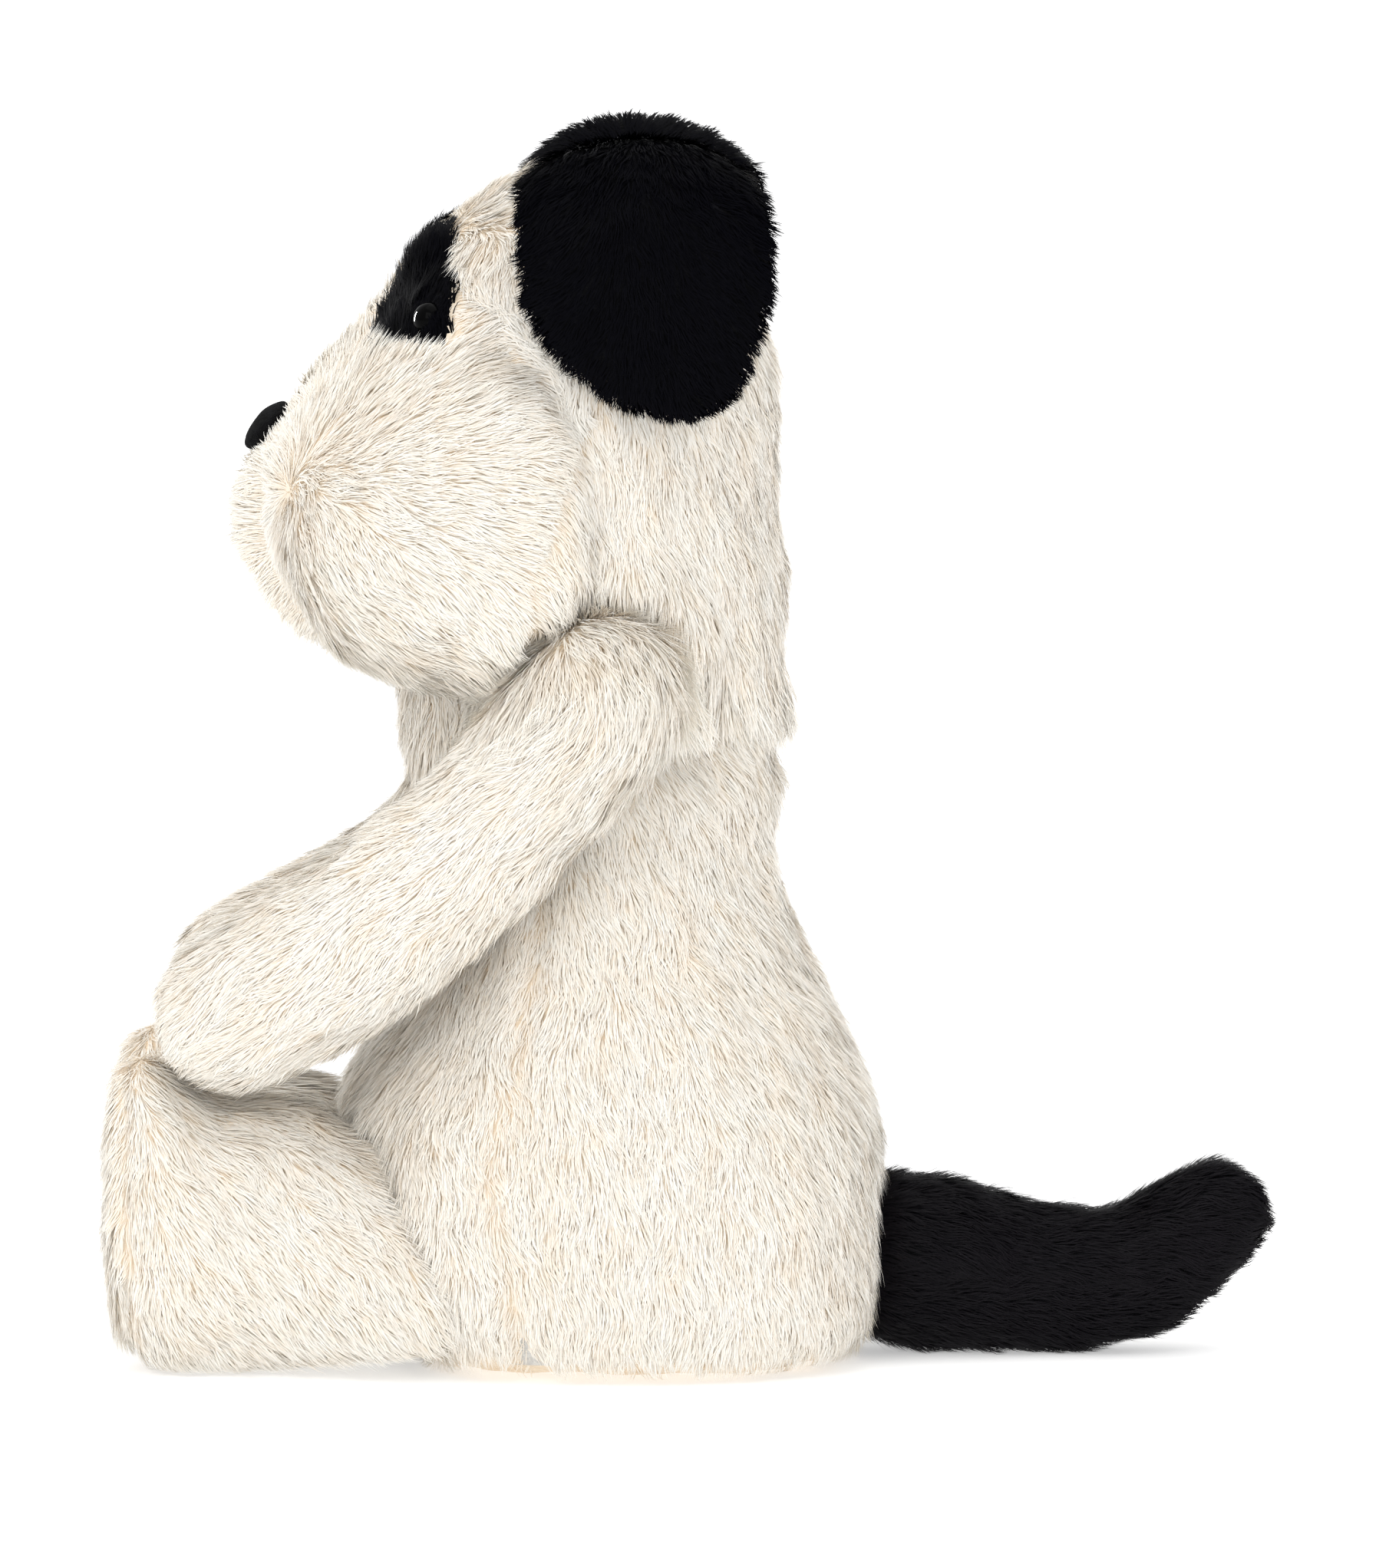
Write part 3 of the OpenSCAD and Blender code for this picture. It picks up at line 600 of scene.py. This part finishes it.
def flow_head(p):
    """Out from a whorl on each cheek, down the sides and the back, and backwards on the crown."""
    side = np.where(p[:, :1] < 0, -1.0, 1.0)
    fan = unit(p - MUZZLE * np.concatenate([side, side ** 2, side ** 2], -1))
    d = np.hypot(p[:, 1] - MUZZLE[1], p[:, 2] - MUZZLE[2])
    near = (1 - smooth(d, 38, 72))[:, None]
    _, ahead, up = from_mark(p, NECK)
    sweep = 0.9 * smooth(-ahead, -25, 42) - 0.4
    sweep += 0.5 * smooth(up, 63, 81) * (1 - smooth(-ahead, -25, 20))
    back = np.stack([0 * sweep, sweep, 0 * sweep - 0.85], -1)
    top = smooth(up, 99, 117)[:, None]
    rest = back * (1 - top) + np.array([0, 1.0, -0.1]) * top
    return fan * near + unit(rest) * (1 - near)


def flow_arm(side):
    """Out from a whorl at the shoulder, then down the arm to the paw."""
    mirror = np.array([SIDES[side], 1, 1])
    whorl = (SHOULDER + [-13, -6, 21]) * mirror

    def flow(p):
        off = p - whorl
        far = smooth(np.linalg.norm(off, axis=-1), 26, 52)[:, None]
        return unit(off) * (1 - far) + np.array([-0.1, -0.75, -0.66]) * mirror * far
    return flow


def flow_leg(p):
    _, ahead, _ = from_mark(p, HIP)
    thigh = smooth(-ahead, -57, -31)[:, None]
    return np.array([0, 0.65, -0.75]) * thigh + np.array([0, 0.05, -1.0]) * (1 - thigh)


def flow_tail(p):
    return np.broadcast_to(np.array([0, 1.0, -0.15]), p.shape)


def flow_ear(side):
    """Outwards over the fold, then down, spreading towards both edges."""
    def flow(p):
        _, ahead, up = from_mark(p, EAR_ROOT)
        spread = 1.3 * (-ahead - 4) / 24
        drop = -1.1 + 0.9 * smooth(up, -4, 18)
        out = SIDES[side] * smooth(up, -2, 16) * 0.9
        return np.stack([out, spread, drop], -1)
    return flow


FLOWS = {"torso": flow_torso, "head": flow_head, "tail": flow_tail,
         "leg_left": flow_leg, "leg_right": flow_leg}
for side in SIDES:
    FLOWS["arm_" + side] = flow_arm(side)
    FLOWS["ear_" + side] = flow_ear(side)

# ------------------------------------------------------------------ pile

STEPS = np.array([0, 1, 2, 3]) / 3.0          # a strand's points, from root to tip
PER_MM2 = 2.4            # strands for each square millimetre
THICK = 0.29             # width of a strand at its root
LIFT, LAY = 19, 2.5      # degrees at which a strand leaves the cloth, and lies at its tip
SWAY = 0.16              # how much a strand bends sideways
CLUMP_SIZE, CLUMP_PULL = 2.8, 0.32            # width of a tuft, and how far strands lean to it
ROLL = 14                # a strand's flat side turns this many degrees either way
TONE_STEPS = np.array([-1.2, 0.2, 0.9])       # how much paler each stretch is, root to tip: the darker roots are painted shade deep in the pile
TONE_MIDDLE = 3.7        # where most strands are in the row of tones
SEAM_SHADE = 0.9          # strands at a seam are this much darker: painted shade in the parting there
FLYAWAY = 0.09           # share of strands that stand up out of the pile,
FLYAWAY_LIFT, FLYAWAY_LAY = 16, 10            # and by how many degrees more
MOST_STRANDS = 38000     # in one piece


def grow(root, normal, flow, length, lift, lay, rng):
    """Centre lines of strands: (count, 4, 3).  They leave at angle lift and lie down to angle lay."""
    side = np.cross(normal, flow)
    sway = rng.normal(0, SWAY, len(root))
    line = [root]
    for k in range(3):
        t = (k + 0.5) / 3
        up = np.radians(lift * (1 - t) + lay * t)
        step = (flow * np.cos(up)[:, None] + normal * np.sin(up)[:, None]
                + side * (sway * 2 * t)[:, None])
        line.append(line[-1] + unit(step) * (length / 3)[:, None])
    return np.stack(line, 1)


def clump(line, root, area, rng):
    """Strands close together lean towards one of them, more so at their tips."""
    count = int(area / CLUMP_SIZE ** 2)
    chosen = rng.choice(len(root), min(count, len(root)), replace=False)
    tree = KDTree(len(chosen))
    for i, c in enumerate(chosen.tolist()):
        tree.insert(root[c], i)
    tree.balance()
    find = tree.find
    near = chosen[[find(p)[1] for p in root.tolist()]]
    offset = (root - root[near])[:, None, :]
    t = STEPS[None, :, None] ** 1.3
    target = line[near] + 0.22 * offset
    return line + CLUMP_PULL * t * (target - line)


def strand_mesh(name, line, normal, thick, tone, materials, rng):
    """Tapered ribbons round the centre lines, two quads and a point each."""
    count = len(line)
    way = unit(np.gradient(line, axis=1))
    roll = np.radians(rng.uniform(-ROLL, ROLL, count))[:, None, None]
    flat = unit(np.cross(way, normal[:, None, :]))
    lifted = unit(np.cross(flat, way))
    across = flat * np.cos(roll) + lifted * np.sin(roll)
    width = thick[:, None] * np.array([0.5, 0.5, 0.36])
    points = np.empty((count, 7, 3))
    for k in range(3):
        points[:, 2 * k] = line[:, k] - across[:, k] * width[:, k, None]
        points[:, 2 * k + 1] = line[:, k] + across[:, k] * width[:, k, None]
    points[:, 6] = line[:, 3]
    points[..., 2] = np.maximum(points[..., 2], FLOOR_GAP)
    pattern = np.array([0, 1, 3, 2, 2, 3, 5, 4, 4, 5, 6])
    corner = (np.arange(count)[:, None] * 7 + pattern).ravel()
    begin = (np.arange(count)[:, None] * 11 + np.array([0, 4, 8])).ravel()
    mesh = bpy.data.meshes.new(name)
    mesh.vertices.add(count * 7)
    mesh.loops.add(len(corner))
    mesh.polygons.add(len(begin))
    mesh.vertices.foreach_set("co", (points * MM).astype(np.float32).ravel())
    mesh.loops.foreach_set("vertex_index", corner.astype(np.int32))
    mesh.polygons.foreach_set("loop_start", begin.astype(np.int32))
    # roots take darker tones: painted shade deep in the pile
    level = tone[:, None] + TONE_STEPS + rng.normal(0, 0.4, (count, 1))
    level = np.clip(np.round(level), 0, len(materials) - 1).astype(np.int32)
    for m in materials:
        mesh.materials.append(m)
    mesh.update(calc_edges=True)
    mesh.polygons.foreach_set("material_index", level.ravel())
    shade_smooth(mesh)
    turned = unit(0.9 * normal[:, None, :] + 0.1 * np.cross(across, way))
    turned = np.repeat(turned[:, :3], 2, axis=1)
    turned = np.concatenate([turned, turned[:, -1:]], 1)
    free = mesh.attributes.new("custom_normal", "FLOAT_VECTOR", "POINT")
    free.data.foreach_set("vector", turned.astype(np.float32).ravel())
    obj = bpy.data.objects.new(name, mesh)
    scene.collection.objects.link(obj)
    return obj


NECK_BARE = 34.0         # no pile grows where the head sits on the neck, this far round it


def shows(body, root, normal):
    """Which strands are worth growing: none inside the neck, and none under the base."""
    in_neck = np.hypot(root[:, 0] - NECK[0], root[:, 1] - NECK[1]) < NECK_BARE
    up = root[:, 2] - NECK[2]
    if body == "head":
        return ~((normal[:, 2] < -0.3) & (up < 3) & in_neck)
    if body == "torso":
        return ~((up > -13) & in_neck) & (normal[:, 2] > -0.75)
    return np.ones(len(root), bool)


def sow(skin, rng):
    """Strands sown evenly over a skin: where each stands, and what the skin is like there."""
    tri = skin.triangles
    a, b, c = (skin.points[tri[:, i]] for i in range(3))
    area = np.linalg.norm(np.cross(b - a, c - a), axis=-1) / 2
    total = area.sum()
    count = int(total * PER_MM2)
    pick = np.searchsorted(np.cumsum(area) / total, rng.random(count))
    pick = np.minimum(pick, len(tri) - 1)
    u, v = rng.random(count), rng.random(count)
    u, v = np.where(u + v > 1, 1 - u, u), np.where(u + v > 1, 1 - v, v)
    w = np.stack([1 - u - v, u, v], -1)[..., None]
    corner = tri[pick]
    found = {"root": (skin.points[corner] * w).sum(1),
             "normal": unit((skin.normals[corner] * w).sum(1)),
             "seam": (skin.seam[corner] * w[..., 0]).sum(1),
             "away": (skin.away[corner] * w).sum(1),
             "patch": (skin.patch[corner] * w[..., 0]).sum(1),
             "owner": skin.owner[corner[np.arange(count), np.argmax(w[..., 0], 1)]]}
    keep = shows(skin.body, found["root"], found["normal"])
    return SimpleNamespace(area=total, **{key: value[keep] for key, value in found.items()})


PATCH_CLEAR = 9.0        # pile this close to a black patch is short and brushed off it,
LAP_TOP = PATCH_MIN[2] + 5                    # but below this height it laps over the patch


def brushed(body, s, dark):
    """The way each strand lies: as brushed, twisted a little, and parted at seams and patches."""
    flow = FLOWS[body](s.root)
    if body == "head":
        for side, sign in SIDES.items():
            patch = dark & (s.root[:, 0] * sign > 0)
            out = unit(s.root[patch] - middle_of("eye_patch_" + side))
            flow[patch] = 0.35 * out + np.array([0, -0.3, 1.0])
    twist = sum(Waves(size, seed)(s.root) * amount
                for size, seed, amount in ((6, 8, 0.22), (14, 5, 0.18), (34, 6, 0.14)))
    flow = unit(flow)
    flow = flow + np.cross(s.normal, flow) * twist[:, None]
    part = (1 - smooth(s.seam, 0, 7))[:, None]
    by_patch = (s.patch < PATCH_CLEAR) & ~dark & (s.root[:, 2] > LAP_TOP)
    flow = unit(flow) + np.where(by_patch[:, None], 2.2, 0.4) * part * s.away
    return unit(flow - s.normal * dot(flow, s.normal))


LENGTH = {"torso": 8.2, "head": 8.2, "tail": 7.0, "arm": 7.8, "leg": 7.8, "ear": 5.4}
STUB = 0.3               # what is left of a strand that would cover an eye or the nose
STUB_THICK = 0.01
EYE_BARE = 3.2           # pile is cut to stubs this close to the middle of an eye
NOSE_SIZE = np.array([11.0, 1.0, 6.5])        # half the nose's width, and half its height


def strand_lengths(body, s, dark, rng):
    """Shorter at seams, round the patches, eyes and nose; longer over the shoulders."""
    kind = kind_of(body)
    count = len(s.root)
    length = LENGTH[kind] * rng.uniform(0.75, 1.15, count) * (0.6 + 0.4 * smooth(s.seam, 0, 6))
    if kind == "arm":
        length *= 1 + 0.7 * (1 - smooth(from_shoulder(s.root), 18, 36))
    if kind == "head":
        length = np.where(dark, LENGTH["head"] * 0.8 * rng.uniform(0.7, 1.1, count), length)
        length *= np.where(dark, 1, 0.45 + 0.55 * smooth(s.patch, 1, PATCH_CLEAR))
        for eye in EYES.values():
            near = np.linalg.norm(s.root - eye, axis=-1)
            length *= 0.35 + 0.65 * smooth(near, 4, 9)
            length[near < EYE_BARE] = STUB
        off = (s.root - middle_of("nose_patch")) / NOSE_SIZE
        near = np.hypot(off[:, 0], off[:, 2])
        near[s.root[:, 1] > NOSE[1] + 20] = np.inf
        length *= 0.3 + 0.7 * smooth(near, 0.9, 1.7)
        length[near < 0.85] = STUB
    return length


def nape_share(body, root):
    """How much a strand belongs to the nape, where the pile is long and lies flat."""
    if body != "head":
        return np.zeros(len(root))
    _, ahead, up = from_mark(root, NECK)
    return (1 - smooth(up, -3, 19)) * smooth(-ahead, -10, 20)


rng = np.random.default_rng(7)


def fur(body):
    """Pile of one body: a piece for each panel, or several where a panel has many strands."""
    s = sow(skins[body], rng)
    if kind_of(body) == "ear":
        s.seam += 10     # the rim of an ear hides its seam
    names = PANELS[body]
    dark = np.array([body in BLACK or is_patch(name) for name in names])[s.owner]
    flow = brushed(body, s, dark)
    length = strand_lengths(body, s, dark, rng)
    nape = nape_share(body, s.root)
    count = len(s.root)
    wild = rng.random(count) < FLYAWAY
    lift = rng.normal(LIFT, 5, count) * (1 - 0.5 * nape) + FLYAWAY_LIFT * wild
    lay = rng.normal(LAY, 4, count) * (1 - nape) + FLYAWAY_LAY * wild
    length *= 1 + 0.9 * nape
    line = grow(s.root, s.normal, flow, length, lift, lay, rng)
    line = clump(line, s.root, s.area, rng)
    mottle = Waves(16, 9)(s.root) * 0.5 + Waves(5, 10)(s.root) * 0.4
    # strands near a seam take darker tones: painted shade in the parting
    tone = TONE_MIDDLE + mottle - SEAM_SHADE * (1 - smooth(s.seam, 0, 4))
    made = []
    for i, name in enumerate(names):
        mine = np.flatnonzero(s.owner == i)
        if name == "nose_patch" or not len(mine):
            continue
        black = body in BLACK or is_patch(name)
        row = (TAIL_TONES if body == "tail" else BLACK_TONES) if black else CREAM_TONES
        level = tone[mine] * (len(row) / len(CREAM_TONES))
        thick = THICK * rng.uniform(0.7, 1.2, len(mine))
        thick[length[mine] < 1] = STUB_THICK
        parts = math.ceil(len(mine) / MOST_STRANDS)
        for k in range(parts):
            some = slice(k, None, parts)
            obj = strand_mesh(f"{name}_pile_{k + 1}", line[mine[some]], s.normal[mine[some]],
                              thick[some], level[some], row, rng)
            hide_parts(name)
            made.append(obj)
    return made


def attach(obj, body):
    """Head pieces keep their place, baked into the mesh; all else rides on its own body."""
    if body == "head":
        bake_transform(obj)
    else:
        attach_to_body(obj, body)


def dress(skin):
    """Backing cloth in the colour of the panel that each face belongs to."""
    mesh = skin.obj.data
    mesh.materials.clear()
    mesh.materials.append(black_backing if skin.body in BLACK else cream_backing)
    if skin.body != "head":
        return
    mesh.materials.append(black_backing)
    first = np.empty(len(mesh.polygons), np.int32)
    mesh.polygons.foreach_get("loop_start", first)
    corner = np.empty(len(mesh.loops), np.int32)
    mesh.loops.foreach_get("vertex_index", corner)
    dark = np.array([is_patch(name) for name in PANELS["head"]])[skin.owner[corner[first]]]
    mesh.polygons.foreach_set("material_index", dark.astype(np.int32))


for body, skin in skins.items():
    cloth = skin.obj
    dress(skin)
    attach(cloth, body)
    if CORES[body]:
        attach(fibres[body], body)
    for piece in fur(body):
        attach(piece, body)

# ------------------------------------------------------------------ eyes


DOME_R, DOME_HIGH = 4.0, 3.4
STEM_R, STEM_LONG = 1.2, 9.0
AROUND = 48              # facets round an eye


def eye_dome(side):
    """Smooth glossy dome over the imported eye, on its own stem."""
    middle = EYES[side]
    way = unit(middle - middle_of("eye_washer_" + side))
    turn = np.array(Vector(way).to_track_quat("Z", "Y").to_matrix())
    profile = [(STEM_R, -STEM_LONG), (STEM_R, -1.0), (DOME_R - 0.3, -0.9)]
    for q in np.linspace(-0.2, 1.5, 14):
        profile.append((DOME_R * math.cos(q), DOME_HIGH * math.sin(q)))
    turns = np.arange(AROUND) * 2 * math.pi / AROUND
    local = [[r * math.cos(a), r * math.sin(a), z] for r, z in profile for a in turns]
    local += [[0, 0, -STEM_LONG], [0, 0, DOME_HIGH]]
    foot, tip = len(local) - 2, len(local) - 1
    last = (len(profile) - 1) * AROUND
    faces = []
    for i in range(AROUND):
        j = (i + 1) % AROUND
        for row in range(0, last, AROUND):
            faces.append([row + i, row + j, row + AROUND + j, row + AROUND + i])
        faces.append([j, i, foot])
        faces.append([last + i, last + j, tip])
    mesh = bpy.data.meshes.new("eye_dome_" + side)
    mesh.from_pydata(((np.array(local) @ turn.T + middle) * MM).tolist(), [], faces)
    shade_smooth(mesh)
    mesh.materials.append(eye_plastic)
    obj = bpy.data.objects.new(mesh.name, mesh)
    scene.collection.objects.link(obj)
    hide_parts("eye_" + side)
    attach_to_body(obj, "head")


NOSE_OUT = np.array([0, -1.5, 0.3])           # the front of the nose is set out this far,
NOSE_PUFF = 0.8                               # and all of it swells by this


def nose():
    """Stuffed cloth nose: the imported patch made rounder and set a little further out."""
    whole = bmesh.new()
    whole.from_mesh(frame["nodes"]["nose_patch"].data)
    bmesh.ops.remove_doubles(whole, verts=whole.verts, dist=0.02 * MM)
    mesh = bpy.data.meshes.new("nose_cloth")
    whole.to_mesh(mesh)
    whole.free()
    p = points_of(mesh)
    top = smooth(-normals_of(mesh)[:, 1], 0, 0.8)[:, None]
    put_points(mesh, p + NOSE_OUT * top + NOSE_PUFF * normals_of(mesh))
    obj = bpy.data.objects.new("nose_cloth", mesh)
    scene.collection.objects.link(obj)
    finer = obj.modifiers.new("Finer", "SUBSURF")
    finer.levels = 2
    apply_modifiers(obj)
    shade_smooth(obj.data)
    obj.data.materials.clear()
    obj.data.materials.append(nose_felt)
    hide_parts("nose_patch")
    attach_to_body(obj, "head")


nose()
for side in SIDES:
    eye_dome(side)

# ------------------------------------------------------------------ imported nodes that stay

KEPT = {"seat_pellet_pouch": pouch_cloth, "eye_washer_left": washer_plastic,
        "eye_washer_right": washer_plastic}
for name, material in KEPT.items():
    for place in frame["nodes"][name].material_slots:
        place.link = "OBJECT"
        place.material = material

# ------------------------------------------------------------------ floor, light and camera


def aim(obj, target):
    way = np.array(target) - np.array(obj.location)
    obj.rotation_mode = "QUATERNION"
    obj.rotation_quaternion = Vector(way).to_track_quat("-Z", "Y")


def soft_light(name, place, size, power, target=(0, 0, 0.13)):
    lamp = bpy.data.lights.new(name, "AREA")
    lamp.shape = "RECTANGLE"
    lamp.size, lamp.size_y = size
    lamp.energy = power
    obj = bpy.data.objects.new(name, lamp)
    scene.collection.objects.link(obj)
    obj.location = place
    aim(obj, target)
    return obj


def make_floor(reach=30.0):
    """Plain paper.  It glows a little, as on a light table, so that shadows on it stay faint."""
    mesh = bpy.data.meshes.new("floor")
    corners = [(-reach, -reach, 0), (reach, -reach, 0), (reach, reach, 0), (-reach, reach, 0)]
    mesh.from_pydata(corners, [], [(0, 1, 2, 3)])
    floor = bpy.data.objects.new("floor", mesh)
    scene.collection.objects.link(floor)
    paper, _, _, shader = new_material("floor_paper")
    shader.inputs["Base Color"].default_value = (0.82, 0.82, 0.82, 1)
    shader.inputs["Emission Color"].default_value = (1, 1, 1, 1)
    shader.inputs["Emission Strength"].default_value = 0.45
    shader.inputs["Roughness"].default_value = 0.9
    mesh.materials.append(paper)


def make_room():
    """White light from all round, dimmer ahead of and behind the toy."""
    world = bpy.data.worlds.new("studio")
    scene.world = world
    world.use_nodes = True
    nodes, links = world.node_tree.nodes, world.node_tree.links
    nodes["Background"].inputs["Color"].default_value = (1, 1, 1, 1)
    place = nodes.new("ShaderNodeTexCoord")
    split = nodes.new("ShaderNodeSeparateXYZ")
    square = nodes.new("ShaderNodeMath")
    square.operation = "POWER"
    square.inputs[1].default_value = 2
    fade = nodes.new("ShaderNodeMapRange")
    fade.inputs["To Min"].default_value = 1.03
    fade.inputs["To Max"].default_value = 0.68
    links.new(place.outputs["Generated"], split.inputs["Vector"])
    links.new(split.outputs["Y"], square.inputs[0])
    links.new(square.outputs["Value"], fade.inputs["Value"])
    links.new(fade.outputs["Result"], nodes["Background"].inputs["Strength"])


def make_lights():
    """A soft key and top light, and a strip that lights the eyes alone and edges each dome."""
    soft_light("key", (1.3, -0.5, 1.0), (1.0, 1.0), 5.5)
    soft_light("top", (0.1, 0.1, 1.7), (1.4, 1.4), 4.5)
    strip = soft_light("catch_light", (-0.6, -0.9, 0.4), (0.12, 0.5), 60)
    eyes = bpy.data.collections.new("eyes")
    for side in SIDES:
        eyes.objects.link(bpy.data.objects["eye_dome_" + side])
    strip.light_linking.receiver_collection = eyes


VIEW_UP = math.radians(5)
VIEW_FAR = 3.0
VIEW_HEIGHT = 0.3734     # what the picture is high, at the toy
VIEW_MIDDLE = (0, 0, 0.136)
SENSOR = 36              # millimetres, the camera's usual one


def make_camera():
    """Level with the toy's left side, a little above it."""
    data = bpy.data.cameras.new("camera")
    data.sensor_width = SENSOR
    data.lens = SENSOR * VIEW_FAR / VIEW_HEIGHT
    camera = bpy.data.objects.new("camera", data)
    scene.collection.objects.link(camera)
    up = VIEW_MIDDLE[2] + VIEW_FAR * math.sin(VIEW_UP)
    camera.location = (VIEW_FAR * math.cos(VIEW_UP), 0, up)
    aim(camera, VIEW_MIDDLE)
    scene.camera = camera


make_floor()
make_room()
make_lights()
make_camera()
scene.view_settings.view_transform = "Standard"
